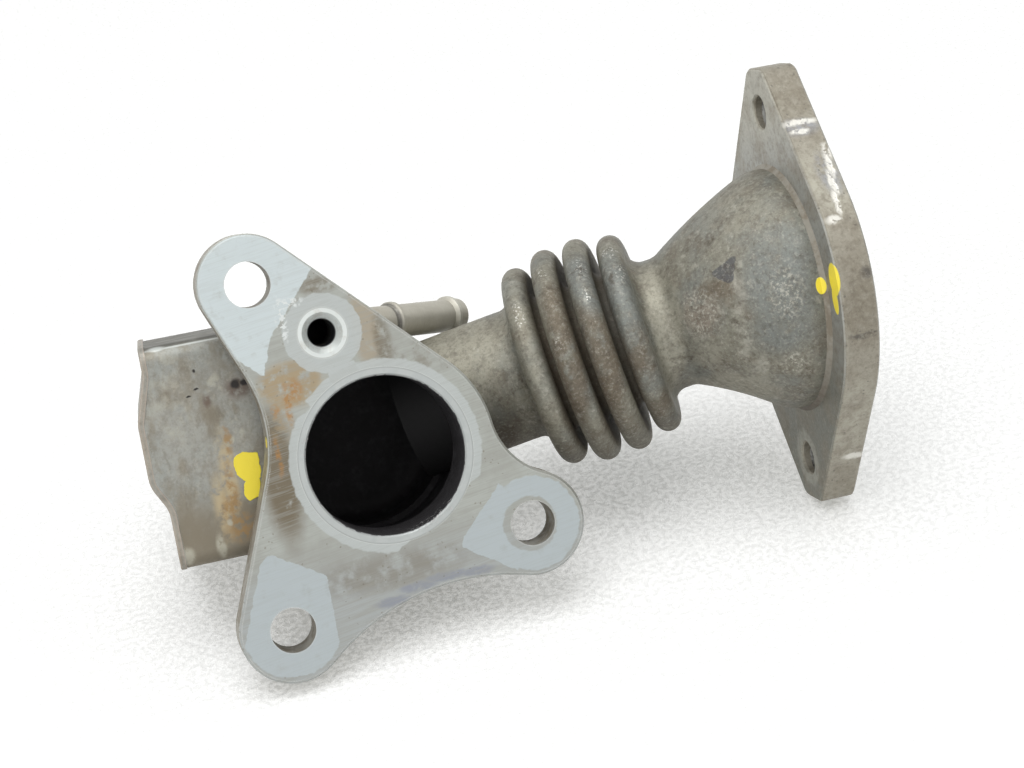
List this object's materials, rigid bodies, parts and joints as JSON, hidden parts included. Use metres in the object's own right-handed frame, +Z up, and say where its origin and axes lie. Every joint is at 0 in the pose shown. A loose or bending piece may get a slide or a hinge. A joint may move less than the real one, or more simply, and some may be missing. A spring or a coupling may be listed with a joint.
{
  "type": "exhaust gas recirculation pipe",
  "caption": "Engine exhaust gas recirculation pipe: a drilled valve flange on a small steel gas chamber, a bellows pipe with a flared end and a two-bolt exhaust flange.",
  "frame": {"origin": "centre of the box's footprint, on the floor the pipe lies on", "axes": "+X from the gas chamber to the exhaust flange, +Y away from the valve flange's face, +Z up from the floor; the valve flange leans back as it does when the pipe lies at rest"},
  "size_m": [0.1458, 0.076, 0.0885],
  "materials": {
    "machined_flange": "fine machined steel with pale gasket marks and light rust",
    "gas_sleeve": "machined edge, sooted bore",
    "port_bush": "pale smooth steel",
    "coolant_tube": "pale smooth stainless steel",
    "chamber_sheet": "dull stained steel sheet",
    "end_cap": "dull stained steel sheet",
    "heat_tinted_pipe": "heat tinted brown steel, speckled",
    "weld": "dull weld bead",
    "exhaust_flange": "dull steel with worn bright edges"
  },
  "bodies": {
    "root": {"valve_flange": "machined_flange", "gas_outlet_sleeve": "gas_sleeve", "coolant_port_bush": "port_bush", "coolant_tube": "coolant_tube", "chamber_front_tray": "chamber_sheet", "chamber_back_pan": "chamber_sheet", "chamber_end_cap": "end_cap", "bellows_pipe": "heat_tinted_pipe", "cone_weld": "weld", "exhaust_flange": "exhaust_flange"}
  },
  "joints": []
}
